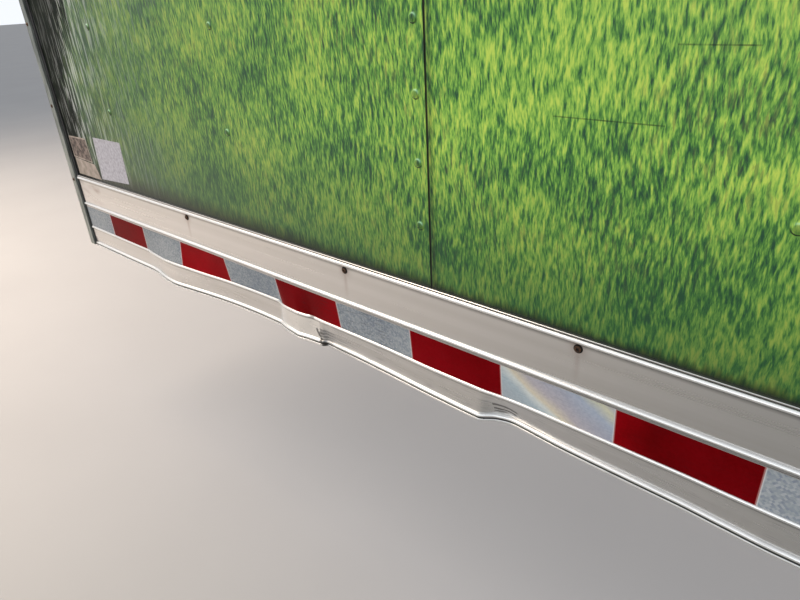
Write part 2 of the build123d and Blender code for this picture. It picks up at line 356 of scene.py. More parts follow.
def rail_stations():
    """Places along the rail, close together where it is dented, creased or stained."""
    first, last = at(DENT_PLACES[0]), at(DENT_PLACES[-1])
    # stretches and their longest steps: before, in and behind the dents, then stains and marks
    stretches = [(RAIL_LOW.x, first, 0.012), (first, last, 0.004), (last, RAIL_HIGH.x, 0.05)]
    stretches += [(x - 0.014, x + 0.014, 0.002) for x in rail_screw_xs()]
    stretches += [(at(near), at(far), 0.0015) for near, far in MARKED]
    places = {x for stretch in stretches for x in steps(*stretch)}
    crease_half = 0.0006
    places |= {at(place) + side * crease_half for place in CREASES for side in (-1, 0, 1)}
    nearest = 0.0005
    kept = []
    for x in sorted(places):
        if RAIL_LOW.x <= x <= RAIL_HIGH.x and (not kept or x - kept[-1] > nearest):
            kept.append(x)
    kept[-1] = RAIL_HIGH.x
    return kept


def join(tree, source, socket):
    """Links an output, or a node's first output that is in use, to a socket."""
    if isinstance(source, bpy.types.Node):
        source = next(output for output in source.outputs if output.enabled)
    tree.links.new(source, socket)


def add(tree, kind, links=None, values=None, stops=None, **settings):
    """Adds one node with its settings, input values, incoming links and colour stops."""
    node = tree.nodes.new("ShaderNode" + kind)
    for name, value in settings.items():
        setattr(node, name, value)
    for key, value in (values or {}).items():
        node.inputs[key].default_value = value
    for key, source in (links or {}).items():
        join(tree, source, node.inputs[key])
    if stops:
        elements = node.color_ramp.elements
        while len(elements) < len(stops):
            elements.new(0.5)
        for element, (position, shade) in zip(elements, stops):
            element.position = position
            element.color = as_colour(shade)
    return node


def new_material(name, **values):
    """A material with the given values set on its shader's own sockets."""
    material = bpy.data.materials.new(name)
    material.use_nodes = True
    shader = material.node_tree.nodes["Principled BSDF"]
    for key, value in values.items():
        shader.inputs[key.replace("_", " ")].default_value = value
    return material, material.node_tree, shader


def per(size):
    """Noise scale whose shapes are of a size in millimetres."""
    return 1 / (size * MM)


def wall_plane(tree):
    """Place on the wall's face, its height turned into the second coordinate, and its parts."""
    parts = add(tree, "SeparateXYZ", {"Vector": add(tree, "TexCoord").outputs["Object"]}).outputs
    return add(tree, "CombineXYZ", {"X": parts["X"], "Y": parts["Z"]}), parts


def stretched_noise(tree, place, size, detail, **values):
    """Noise whose shapes have a size in metres along each axis."""
    turned = add(tree, "Mapping", {"Vector": place}, {"Scale": size}, vector_type="TEXTURE")
    return add(tree, "TexNoise", {"Vector": turned}, {"Scale": 1.0, "Detail": detail, **values})


def blades(tree, flat, lean, width, blade, detail):
    """Long soft strokes of the given width and length in metres, leaning by an angle."""
    size = {"Rotation": (0.0, 0.0, lean), "Scale": (width, blade, 1.0)}
    turned = add(tree, "Mapping", {"Vector": flat}, size, vector_type="TEXTURE")
    look = {"Scale": 1.0, "Detail": detail, "Roughness": 0.55}
    return add(tree, "TexNoise", {"Vector": turned}, look, noise_dimensions="2D")


def painted(tree, now, *layers):
    """Lays colours over one another, each as strongly as its mask says."""
    for mask, shade in layers:
        now = add(tree, "Mix", {"Factor": mask, "A": now}, {"B": as_colour(shade)}, data_type="RGBA")
    return now


def surface(tree, shader, tint, grain, rough, relief, strength, depth):
    """Gives a shader its colour, a roughness that follows the grain, and a fine relief."""
    gloss = add(tree, "MapRange", {"Value": grain}, rough)
    height = add(tree, "Bump", {"Height": relief}, {"Strength": strength, "Distance": depth})
    for socket, source in (("Base Color", tint), ("Roughness", gloss), ("Normal", height)):
        join(tree, source, shader.inputs[socket])


def printed_wrap(look):
    """Cast vinyl wrap, digitally printed and laid over flat aluminium sheet: soft edged print under an even
    gloss, greyer towards the front and worn through in streaks at the front edge."""
    material, tree, shader = new_material("printed_vinyl_wrap", Metallic=0.0, IOR=1.35)
    flat, parts = wall_plane(tree)
    from_front = add(tree, "Math", {0: parts["X"]}, {1: -FRONT_X}, operation="ADD")
    # the blades sway by up to 12 mm, in clouds of about 110 mm
    drift = add(tree, "TexNoise", {"Vector": flat}, {"Scale": per(111.11), "Detail": 2.0})
    furthest = {1: (0.012, 0.012, 0.0)}
    sway = add(tree, "VectorMath", {0: drift.outputs["Color"]}, furthest, operation="MULTIPLY")
    bent = add(tree, "VectorMath", {0: flat, 1: sway}, operation="ADD")
    width, blade = look.blade_width, look.blade_length
    # lean, width and length of each layer of strokes, how much it counts and its detail
    layers = (
        (-0.12, width, blade, 1.2, 3.0),
        (0.16, width * 0.7, blade * 0.65, 1.0, 3.0),
        (0.03, width * 0.35, blade * 0.35, 0.75, 4.0),
        (-0.05, width * 4.0, blade * 1.3, 0.5, 2.0),
        (0.3, width * 26.0, blade * 4.0, 0.7, 2.0),
    )
    value = None
    for lean, wide, long, weight, detail in layers:
        strokes = blades(tree, bent, lean, wide, long, detail)
        centred = {1: weight, 2: -0.5 * weight if value else 0.5 - 0.5 * weight}
        part = add(tree, "Math", {0: strokes}, centred, operation="MULTIPLY_ADD")
        value = add(tree, "Math", {0: value, 1: part}, operation="ADD") if value else part
    stops = ((0.1, look.deep), (0.34, look.shade), (0.5, look.body), (0.66, look.bright), (0.9, look.tip))
    now = add(tree, "ValToRGB", {"Fac": value}, stops=stops)
    # thatch between the blades, brown grey and in patches of about 220 mm
    strokes = blades(tree, bent, 0.05, width * 0.9, blade * 0.8, 3.0)
    thatch = add(tree, "MapRange", {"Value": strokes}, {"From Min": 0.47, "From Max": 0.37, "To Max": 0.55})
    patches = add(tree, "TexNoise", {"Vector": flat}, {"Scale": per(222.22), "Detail": 3.0})
    patchy = add(tree, "MapRange", {"Value": patches}, {"From Min": 0.42, "From Max": 0.62})
    between = add(tree, "Math", {0: thatch, 1: patchy}, operation="MULTIPLY")
    # the lowest few inches of the print are darker
    rise = {"From Min": RAIL_HIGH.z + 0.2, "From Max": RAIL_HIGH.z, "To Max": 0.75}
    low = add(tree, "MapRange", {"Value": parts["Z"]}, rise)
    # greyer towards the front
    chalk = add(tree, "MapRange", {"Value": from_front}, {"From Min": 1.15, "From Max": 0.2, "To Max": 0.72})
    # the front edge has gone black, wider higher up, with a ragged border
    reach = {"From Min": 0.28, "From Max": 0.45, "To Min": 0.115, "To Max": 0.2}
    border = add(tree, "MapRange", {"Value": parts["Z"]}, reach)
    inside = add(tree, "Math", {0: from_front, 1: border}, operation="SUBTRACT")
    ragged = blades(tree, flat, 0.0, 0.012, 0.16, 4.0)
    edge = add(tree, "Math", {0: ragged}, {1: 0.16, 2: -0.08}, operation="MULTIPLY_ADD")
    torn = add(tree, "Math", {0: inside, 1: edge}, operation="ADD")
    black = add(tree, "MapRange", {"Value": torn}, {"From Min": 0.04, "From Max": -0.02, "To Max": 0.96})
    # pale streaks where the film is worn through, thickest just behind the black border, and darker
    # streaks between them
    shifted = add(tree, "Math", {0: inside}, {1: 0.1}, operation="ADD")
    near = add(tree, "ValToRGB", {"Fac": shifted}, stops=(
        (0.0, 0.1), (0.07, 0.3), (0.11, 0.75), (0.17, 0.5), (0.3, 0.18), (0.55, 0.0),
    ))
    streak = blades(tree, flat, 0.0, 0.007, 0.07, 6.0)
    worn = add(tree, "MapRange", {"Value": streak}, {"From Min": 0.52, "From Max": 0.6, "To Max": 0.9})
    ruin = add(tree, "MapRange", {"Value": streak}, {"From Min": 0.51, "From Max": 0.43, "To Max": 0.88})
    pale, dark = (add(tree, "Math", {0: part, 1: near}, operation="MULTIPLY") for part in (worn, ruin))
    # road film that settles just above the lip of the bottom rail, deeper towards the front
    slope = {"From Min": 1.2, "From Max": 0.25, "To Min": RAIL_HIGH.z - 0.004, "To Max": RAIL_HIGH.z + 0.03}
    depth = add(tree, "MapRange", {"Value": from_front}, slope)
    tufts = blades(tree, flat, 0.0, 0.008, 0.05, 4.0)
    depth = add(tree, "Math", {0: tufts, 2: depth}, {1: 0.035}, operation="MULTIPLY_ADD")
    settled = {"From Max": RAIL_HIGH.z, "To Max": 0.95}
    film = add(tree, "MapRange", {"Value": parts["Z"], "From Min": depth}, settled)
    # sealant along both edges of each seam, and behind it a soft strip of painted shadow cast by the lapped
    # sheet
    sheet = SEAM_XS[1] - SEAM_XS[0]
    wrapped = add(tree, "Math", {0: parts["X"]}, {1: sheet, 2: 0.0}, operation="WRAP")
    seam = add(tree, "Math", {0: wrapped}, {1: SEAM_XS[0] % sheet}, operation="SUBTRACT")
    lap = add(tree, "MapRange", {"Value": seam}, {"From Min": -0.001, "From Max": 0.015})
    strip = add(tree, "ValToRGB", {"Fac": lap}, stops=(
        (0.0, 0.0), (0.03, 0.9), (0.24, 0.9), (0.28, 0.2), (0.42, 0.55), (0.8, 0.0),
    ))
    now = painted(
        tree, now, (between, "#45483c"), (low, "#1f4a2c"), (chalk, "#394b3d"), (black, "#0b0c0c"),
        (pale, "#bfc2c0"), (dark, "#1c2321"), (film, "#0f120e"), (strip, "#141a12"),
    )
    # two long thin scratches in the print, as (place from the front, half length, height) in metres
    half_width = 0.0007
    for middle, half, height in ((1.415, 0.032, 0.376), (1.327, 0.055, 0.3085)):
        along = add(tree, "Math", {0: from_front}, {1: middle, 2: half}, operation="COMPARE")
        level = add(tree, "Math", {0: parts["Z"]}, {1: height, 2: half_width}, operation="COMPARE")
        cut = add(tree, "Math", {0: along, 1: level}, operation="MULTIPLY")
        broken = add(tree, "Math", {0: cut, 1: ragged}, operation="MULTIPLY")
        now = painted(tree, now, (broken, "#101410"))
    # painted highlight on the upper right of each rivet's dome, and painted shadow under its lower edge, with
    # a darker top
    for mark, code in (("crown", "#a6d9ae"), ("rim", "#15241a")):
        now = painted(tree, now, (add(tree, "Attribute", attribute_name=mark).outputs["Fac"], code))
    sheen = add(tree, "MapRange", {"Value": black}, {"To Min": 0.5, "To Max": 0.12})
    join(tree, sheen, shader.inputs["Specular IOR Level"])
    surface(tree, shader, now, black, {"To Min": 0.36, "To Max": 0.62}, drift, 0.06, 0.003)
    return material


def mill_aluminium(sizes):
    """Extruded aluminium in mill finish: satin, with die lines along its length, dulled by oxide, and
    stained, scuffed, lit by painted highlights and darkened by painted shade and shadow where the marks on
    its mesh say."""
    material, tree, shader = new_material("mill_finish_aluminium", Metallic=1.0)
    flat, _ = wall_plane(tree)
    place = add(tree, "TexCoord").outputs["Object"]
    # die lines are about 0.3 mm apart and are drawn at 2 mm so that they show
    lines = add(tree, "Mapping", {"Vector": place}, {"Scale": (0.35, 0.002, 0.002)}, vector_type="TEXTURE")
    drawn = add(tree, "TexNoise", {"Vector": lines}, {"Scale": 1.0, "Detail": 3.0})
    clouds = add(tree, "TexNoise", {"Vector": lines}, {"Scale": 0.12, "Detail": 2.0})
    tint = add(tree, "ValToRGB", {"Fac": clouds}, stops=((0.3, sizes.dull), (0.6, sizes.metal)))
    # marks on the mesh: painted highlight, painted shade, rust stains, and dirt mixed with painted shade and
    # shadow
    crown, grime, stained, scuffed = (
        add(tree, "Attribute", attribute_name=mark).outputs["Fac"]
        for mark in ("crown", "grime", "stain", "scuff")
    )
    # dirt, scuffs and painted shade are drawn out along the rail, and close up where they are thickest
    streaks = blades(tree, flat, 0.0, 0.05, 0.002, 3.0)
    low = add(tree, "Math", {0: scuffed}, {1: -0.4, 2: 0.6}, operation="MULTIPLY_ADD")
    high = add(tree, "Math", {0: low}, {1: 0.1}, operation="ADD")
    dirty = add(tree, "MapRange", {"Value": streaks, "From Min": low, "From Max": high, "To Max": scuffed})
    now = painted(
        tree, tint, (crown, sizes.crown), (grime, sizes.grime), (stained, sizes.rust), (dirty, sizes.dirt)
    )
    covered = add(tree, "Math", {0: stained, 1: dirty}, operation="MAXIMUM")
    metal = add(tree, "MapRange", {"Value": covered}, {"To Min": 1.0, "To Max": 0.25})
    join(tree, metal, shader.inputs["Metallic"])
    rough = {"From Min": 0.3, "From Max": 0.7, "To Min": 0.27, "To Max": 0.31}
    surface(tree, shader, now, drawn, rough, drawn, 0.008, 0.0003)
    return material


def weathered_aluminium():
    """Rolled aluminium angle, weathered outdoors: chalky oxide in upright runs, grey with a little
    green in it, each about 6 mm wide and 50 mm long."""
    material, tree, shader = new_material("weathered_aluminium", Metallic=0.75)
    place = add(tree, "TexCoord").outputs["Object"]
    streaks = stretched_noise(tree, place, (0.006, 0.006, 0.05), 5.0)
    stops = ((0.3, "#666b67"), (0.52, "#8b908a"), (0.75, "#adb1ab"))
    tint = add(tree, "ValToRGB", {"Fac": streaks}, stops=stops)
    surface(tree, shader, tint, streaks, {"To Min": 0.42, "To Max": 0.62}, streaks, 0.1, 0.0008)
    return material


def prism_film(name, tape, shades, end_code, cell_share, tones):
    """Prismatic reflective film, embossed and sealed under a clear face: small diamond cells that each
    send back a different share of the light."""
    material, tree, shader = new_material(name, IOR=1.15, Specular_IOR_Level=0.15)
    flat, parts = wall_plane(tree)
    size = {"Rotation": (0.0, 0.0, 0.785), "Scale": (tape.cell, tape.cell, 1.0)}
    turned = add(tree, "Mapping", {"Vector": flat}, size, vector_type="TEXTURE")
    regular = {"Scale": 1.0, "Randomness": 0.0}
    cells = add(
        tree, "TexVoronoi", {"Vector": turned}, regular, voronoi_dimensions="2D", distance="CHEBYCHEV"
    )
    cell_tone = add(tree, "SeparateColor", {"Color": cells.outputs["Color"]}).outputs["Red"]
    wash = add(tree, "TexNoise", {"Vector": flat}, {"Scale": per(90.91), "Detail": 4.0})
    blend = add(tree, "Mix", {"A": wash, "B": cell_tone}, {"Factor": cell_share}, data_type="FLOAT")
    now = add(tree, "ValToRGB", {"Fac": blend}, stops=tuple(zip((0.25, 0.5, 0.8), shades)))
    # each piece has weathered to its own tone
    reach = {"From Min": FRONT_X, "From Max": FRONT_X + TONE_REACH}
    share = add(tree, "MapRange", {"Value": parts["X"]}, reach)
    weathered = add(tree, "ValToRGB", {"Fac": share}, stops=tones)
    now = add(
        tree, "Mix", {"A": now, "B": weathered}, {"Factor": 1.0}, data_type="RGBA", blend_type="MULTIPLY"
    )
    # rainbow bands across the one white piece whose prisms face the light
    slant_x, slant_z = 0.59, 0.81
    slant = add(tree, "VectorMath", {0: flat}, {1: (slant_x, slant_z, 0.0)}, operation="DOT_PRODUCT")
    wander = add(tree, "Math", {0: wash, 2: slant}, {1: 0.03}, operation="MULTIPLY_ADD")
    first_band, last_band = slant_x * FRONT_X + 0.7, slant_x * FRONT_X + 0.83
    across = add(tree, "MapRange", {"Value": wander}, {"From Min": first_band, "From Max": last_band})
    glint = add(tree, "ValToRGB", {"Fac": across}, stops=(
        (0.0, "#aab4ba"), (0.16, "#b0c0c6"), (0.27, "#dfe3dc"), (0.33, "#e3d4b4"), (0.45, "#b9aeb2"),
        (0.6, "#aaaab8"), (0.72, "#a9b4c6"), (0.84, "#dcd8b4"), (0.92, "#b8b2bc"), (1.0, "#aab2be"),
    ))
    start = FRONT_X + tape.first_red
    bright_piece = {1: start + 7.5 * tape.piece, 2: 0.5 * tape.piece}
    here = add(tree, "Math", {0: parts["X"]}, bright_piece, operation="COMPARE")
    amount = add(tree, "Math", {0: here}, {1: 0.7}, operation="MULTIPLY")
    now = add(tree, "Mix", {"Factor": amount, "A": now, "B": glint}, data_type="RGBA")
    # long fine scratches, thick over one bruised piece and thin elsewhere
    rubbed = blades(tree, flat, 0.0, 0.03, 0.0011, 3.0)
    scratch = add(tree, "MapRange", {"Value": rubbed}, {"From Min": 0.57, "From Max": 0.66})
    bruised = add(tree, "Math", {0: parts["X"]}, {1: FRONT_X + 0.93, 2: 0.1}, operation="COMPARE")
    depth = add(tree, "MapRange", {"Value": bruised}, {"To Min": 0.1, "To Max": 0.42})
    marks = add(tree, "Math", {0: scratch, 1: depth}, operation="MULTIPLY")
    # pale sealed edge at both ends of each piece
    away = parts["X"]
    for operation, value in (
        ("SUBTRACT", start), ("DIVIDE", tape.piece), ("FRACT", 0.0), ("SUBTRACT", 0.5), ("ABSOLUTE", 0.0)
    ):
        away = add(tree, "Math", {0: away}, {1: value}, operation=operation)
    ends = add(tree, "MapRange", {"Value": away}, {"From Min": 0.49, "From Max": 0.494, "To Max": 0.75})
    now = painted(tree, now, (marks, "#2c2426"), (ends, end_code))
    relief = cells.outputs["Distance"]
    surface(tree, shader, now, wash, {"To Min": 0.22, "To Max": 0.45}, relief, 0.18, 0.0004)
    return material


def black_enamel():
    """Black enamel sprayed on welded steel tube: low gloss with a fine orange peel and clouds of dust."""
    material, tree, shader = new_material("black_enamel_on_steel", IOR=1.5)
    place = add(tree, "TexCoord").outputs["Object"]
    peel = add(tree, "TexNoise", {"Vector": place}, {"Scale": per(2.381), "Detail": 2.0})
    dust = add(tree, "TexNoise", {"Vector": place}, {"Scale": per(111.11), "Detail": 6.0})
    tint = add(tree, "ValToRGB", {"Fac": dust}, stops=((0.4, "#17181a"), (0.75, "#3a3935")))
    surface(tree, shader, tint, dust, {"To Min": 0.3, "To Max": 0.6}, peel, 0.12, 0.0005)
    return material


def rotary_plywood():
    """Rotary cut plywood, sanded and left bare: tall wandering grain 16 mm wide, and plies of 1.6 mm
    along its edges, each sheet from another log."""
    material, tree, shader = new_material("bare_plywood", IOR=1.45)
    place = add(tree, "TexCoord").outputs["Object"]
    grain = stretched_noise(tree, place, (0.016, 0.0016, 0.5), 6.0, Distortion=0.9)
    tint = add(tree, "ValToRGB", {"Fac": grain}, stops=((0.3, "#9a7448"), (0.5, "#c29b68"), (0.7, "#d9b988")))
    log = add(tree, "ObjectInfo").outputs["Random"]
    wood = painted(tree, tint, (add(tree, "MapRange", {"Value": log}, {"To Max": 0.3}), "#8a6238"))
    surface(tree, shader, wood, grain, {"To Min": 0.55, "To Max": 0.75}, grain, 0.2, 0.0006)
    return material


def mottled(name, dark, light, size, rough_low, rough_high, **values):
    """A small part's material: two shades in spots of a size in millimetres, and its own roughness."""
    material, tree, shader = new_material(name, **values)
    place = add(tree, "TexCoord").outputs["Object"]
    spots = add(tree, "TexNoise", {"Vector": place}, {"Scale": per(size), "Detail": 5.0})
    tint = add(tree, "ValToRGB", {"Fac": spots}, stops=((0.35, dark), (0.65, light)))
    # where a mesh says it is dark: dirt round the heads of the rail's screws, and painted shade inside their
    # driver recesses
    burnt = add(tree, "Attribute", attribute_name="burnt").outputs["Fac"]
    now = painted(tree, tint, (burnt, "#14100d"))
    surface(tree, shader, now, spots, {"To Min": rough_low, "To Max": rough_high}, spots, 0.2, 0.0003)
    return material


def shared(name, make, *given):
    """A material made once and used by several operators."""
    return bpy.data.materials.get(name) or make(*given)


def dress(node, material):
    """Gives a CAD node its material, leaving its mesh alone."""
    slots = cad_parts[node].data.materials
    slots.clear()
    slots.append(material)


def mesh_piece(name, vertices, faces, materials, sharp=40.0, material_of=None):
    """A closed mesh in the frame's own coordinates, smooth but for its real edges."""
    mesh = bpy.data.meshes.new(name)
    mesh.from_pydata(vertices, [], faces)
    for material in materials:
        mesh.materials.append(material)
    if material_of:
        mesh.polygons.foreach_set("material_index", material_of)
    built = bmesh.new()
    built.from_mesh(mesh)
    bmesh.ops.recalc_face_normals(built, faces=built.faces)
    built.to_mesh(mesh)
    built.free()
    mesh.shade_smooth()
    mesh.set_sharp_from_angle(angle=math.radians(sharp))
    piece = bpy.data.objects.new(name, mesh)
    bpy.context.scene.collection.objects.link(piece)
    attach(piece, "root")
    return piece


def write_marks(piece, **marks):
    """Writes values per vertex on a piece's mesh, for its material to read by name."""
    for name, values in marks.items():
        piece.data.attributes.new(name, "FLOAT", "POINT").data.foreach_set("value", values)


def ring_faces(first, rings, sides):
    """Faces that join stacked rings of vertices and close both ends."""
    faces = [tuple(range(first, first + sides))]
    last = first + (rings - 1) * sides
    for start in range(first, last, sides):
        for k in range(sides):
            j = (k + 1) % sides
            faces.append((start + k, start + j, start + sides + j, start + sides + k))
    return faces + [tuple(range(last, last + sides))]


def sweep(outline, stations, offset, first=0):
    """Vertices and faces of a closed (y, z) outline carried along X, each point pushed in."""
    vertices = [(x, y + offset(x, z), z) for x in stations for y, z in outline]
    return vertices, ring_faces(first, len(stations), len(outline))


def heads_piece(name, places, y, outward, profile, sides, material):
    """Like round heads in one piece, at (x, z) places on a flat face: (radius, height) rings from the outer
    edge of each to its top, facing along Y."""
    vertices, faces = [], []
    turns = [2 * math.pi * k / sides for k in range(sides)]
    for x, z in places:
        faces += ring_faces(len(vertices), len(profile), sides)
        for radius, height in profile:
            vertices += [
                (x + radius * math.cos(a), y + outward * height, z + radius * math.sin(a)) for a in turns
            ]
    return mesh_piece(name, vertices, faces, [material])


def dome(radius, height):
    """Profile of a low dome that runs out softly at its edge."""
    rings = [(radius * 1.25, 0.0), (radius * 1.12, height * 0.06)]
    for k in range(1, 7):
        angle = math.pi / 2 * k / 7
        rings.append((radius * math.cos(angle * 0.98), height * (0.12 + 0.88 * math.sin(angle))))
    return rings + [(radius * 0.08, height)]


def pan_head(sizes, width=1.0, rise=1.0):
    """Profile of a screw's washer and pan head with a driver recess."""
    shape = (
        (1.35, 0.0), (1.35, 0.18), (1.28, 0.25), (1.0, 0.28), (0.98, 0.7), (0.8, 0.95), (0.45, 1.0),
        (0.38, 0.6), (0.05, 0.5),
    )
    return [(sizes.screw_radius * width * a, sizes.screw_height * rise * b) for a, b in shape]


def bead_points(face, top, bottom, proud):
    """Half round bead from its upper to its lower edge, with a soft run-out at each side."""
    middle, half = (top + bottom) / 2, (top - bottom) / 2
    angles = [math.pi * k / 16 for k in range(17)]
    return [(face - proud * math.sin(a) ** 0.85, middle + half * math.cos(a)) for a in angles]


def bead_marks(face, y, z, beads):
    """How strong the painted highlight and the painted shade are at a point of the rail's outline, both from
    0 to 1: highlight on the upper part of a bead's face, shade on its lower part and in a thin strip under
    it.
    """
    crown, grime = 0.0, 0.0
    # width of the strip of painted shade under each bead
    film = 3 * MM
    for top, bottom, proud in beads:
        middle, half = (top + bottom) / 2, (top - bottom) / 2
        if bottom < z < top and y < face - 0.2 * proud:
            crown = min(1.0, max(0.0, (z - middle) / half * 2.5 + 1.6))
            grime = 1.0 - crown
        elif bottom - film < z <= bottom and y <= face:
            grime = max(grime, 0.9 * (1.0 - (bottom - z) / film))
    return crown, grime


def spot(place, level, middle, height, reach, rise):
    """A soft round mark: 1 at its middle and 0 outside, all in millimetres."""
    away = ((place - middle) / reach) ** 2 + ((level - height) / rise) ** 2
    return max(0.0, 1.0 - away * away)


def bell(away, width):
    """1 in the middle and fading softly with the distance."""
    return math.exp(-((away / width) ** 2))


def flat_points(face, top, bottom, longest=0.004):
    """Points down a flat, without its two ends."""
    return [(face, z) for z in steps(top, bottom, longest)[1:-1]]


class SIDEWALL_OT_bottom_rail(bpy.types.Operator):
    """Builds the extruded bottom rail with its round beads, dents, stains, scuffs, painted highlights and
    painted shade
    """

    bl_idname = "side_wall.bottom_rail"
    bl_label = "Bottom rail"

    def execute(self, context):
        sizes = context.scene.side_wall_rail
        face = SKIN_Y - sizes.thickness
        lip = face - sizes.lip_proud
        bead_top = RAIL_HIGH.z - sizes.lip_height
        flat_top = bead_top - sizes.top_bead
        mid_top = flat_top - sizes.upper_flat
        mid_low = mid_top - sizes.mid_bead
        tape_low = TAPE_TOP - sizes.tape_height
        low_low = tape_low - sizes.low_bead
        bottom_top = low_low - sizes.lower_flat
        bottom_low = bottom_top - sizes.bottom_bead
        groove = face - sizes.foot_groove_proud
        foot = face - sizes.foot_proud
        foot_top = bottom_low - sizes.foot_groove
        # edge roundings, the strip under a bead that holds painted shade, and the small step above the tape
        round_off, run_out = 0.4 * MM, 1.2 * MM
        step_top, step_face = TAPE_TOP + 1.1 * MM, face - 0.7 * MM
        foot_rounding = ((1.0, 0.0), (0.5, 0.13), (0.13, 0.5), (0.0, 1.0))
        outline = [
            (SKIN_Y, RAIL_HIGH.z),
            (lip + round_off, RAIL_HIGH.z),
            (lip, RAIL_HIGH.z - round_off),
            (lip, bead_top + round_off),
            (lip + round_off, bead_top),
            *bead_points(face, bead_top - 0.2 * MM, flat_top, sizes.bead_proud),
            (face, flat_top - run_out),
            *flat_points(face, flat_top - run_out, mid_top),
            *bead_points(face, mid_top, mid_low, sizes.bead_proud),
            (face, step_top + 0.3 * MM),
            (step_face, step_top),
            (step_face, TAPE_TOP),
            (face, TAPE_TOP),
            *flat_points(face, TAPE_TOP, tape_low, 0.006),
            *bead_points(face, tape_low, low_low, sizes.low_bead_proud),
            (face, low_low - run_out),
            *flat_points(face, low_low - run_out, bottom_top, 0.002),
            *bead_points(face, bottom_top, bottom_low, sizes.bead_proud),
            (groove, bottom_low - 0.1 * MM),
            (groove, foot_top),
            *((foot + a * MM, foot_top - b * MM) for a, b in foot_rounding),
            (foot, RAIL_LOW.z),
            (SKIN_Y, RAIL_LOW.z),
            *flat_points(SKIN_Y, RAIL_LOW.z, RAIL_HIGH.z, 0.012),
        ]
        stations = rail_stations()
        vertices, faces = sweep(outline, stations, lambda x, z: push_in(x, z, sizes))
        material = shared("mill_finish_aluminium", mill_aluminium, sizes)
        rail = mesh_piece("rail_extrusion", vertices, faces, [material])
        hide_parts("bottom_rail")
        beads = (
            (RAIL_HIGH.z, bead_top, sizes.lip_proud),
            (bead_top, flat_top, sizes.bead_proud),
            (mid_top, mid_low, sizes.bead_proud),
            (tape_low, low_low, sizes.low_bead_proud),
            (bottom_top, bottom_low, sizes.bead_proud),
        )
        marks = [bead_marks(face, y, z, beads) for y, z in outline]
        # the groove over the foot gets full painted shade, and the foot's own edge a full painted highlight
        marks = [
            (0.0, 1.0) if y == groove else (1.0, 0.0) if z <= foot_top and y < groove else mark
            for mark, (y, z) in zip(marks, outline)
        ] * len(stations)
        # painted highlight per vertex, with a weaker painted highlight on the facets before the tear
        crown = []
        for (rubbed, _), vertex in zip(marks, rail.data.vertices):
            on_facet = bottom_top < vertex.co.z < low_low and at(FACETS[0]) < vertex.co.x < at(FACETS[1])
            crown.append(max(rubbed, 0.65 if on_facet else 0.0))
        write_marks(rail, crown=crown, grime=[grimy for _, grimy in marks])
        self.mark(rail, context.scene.side_wall_fasteners.screw_level, flat_top, mid_top, low_low)
        return {"FINISHED"}

    def mark(self, rail, screw_level, flat_top, mid_top, low_low):
        """Writes where the rail is stained by rust, scuffed by rubber and soiled, and where painted shade and
        shadow darken its dents, folds and tear.
        """
        stain, scuff = [], []
        screws = rail_screw_xs()
        for vertex in rail.data.vertices:
            x, _, z = vertex.co
            place, level = (x - FRONT_X) / MM, z / MM
            patch = noise.noise((x * 40, 0.0, z * 90))
            rust = 0.0
            for screw in screws:
                # a thin run below each screw, and a ring of rust round its head
                if z <= screw_level:
                    fade = max(0.0, 1 - (screw_level - z) / 0.05)
                    rust = max(rust, 0.42 * bell(x - screw, 0.0035) * fade)
                rust = max(rust, 0.55 * bell(math.hypot(x - screw, z - screw_level), 0.009))
            if mid_top < z < flat_top and place < 160:
                rust = max(rust, 0.7 * max(0.0, patch + 0.15) * (1 - place / 160))
            # brown smudge on the upper flat near the front
            rust = max(rust, spot(place, level, 118, 50, 24, 10) * (0.3 + 0.5 * patch))
            dark = max(strength * spot(place, level, *shape) for *shape, strength in DARK_SPOTS)
            if z < low_low:
                # torn lip, as a slit that slants down to a notch, painted dark as the shadow in the tear,
                # with dirt drawn out behind it
                if level < -77:
                    along = min(1.0, max(0.0, (-81 - level) / 21))
                    dark = max(dark, bell(place - 854 - 13 * along, 2.9 + 1.6 * along))
                if 860 < place < 1010 and level < -76:
                    dark = max(dark, 0.62 * (1 - (place - 860) / 150) ** 1.5)
                for start, end, crest, drop in SCUFF_ARCS:
                    if start < place < end:
                        bow = crest - drop * ((place - start - 10) / (end - start - 10)) ** 2
                        dark = max(dark, bell(level - bow, 2.0))
                if 900 < place < 1700:
                    dark = max(dark, 0.3 * max(0.0, patch + 0.2))
                # painted shade along the folds
                dark = max(dark, *(0.15 * bell(place - fold, 3.0) for fold in FOLDS))
            stain.append(min(1.0, max(0.0, rust)))
            scuff.append(min(0.95, max(0.0, dark)))
        write_marks(rail, stain=stain, scuff=scuff)


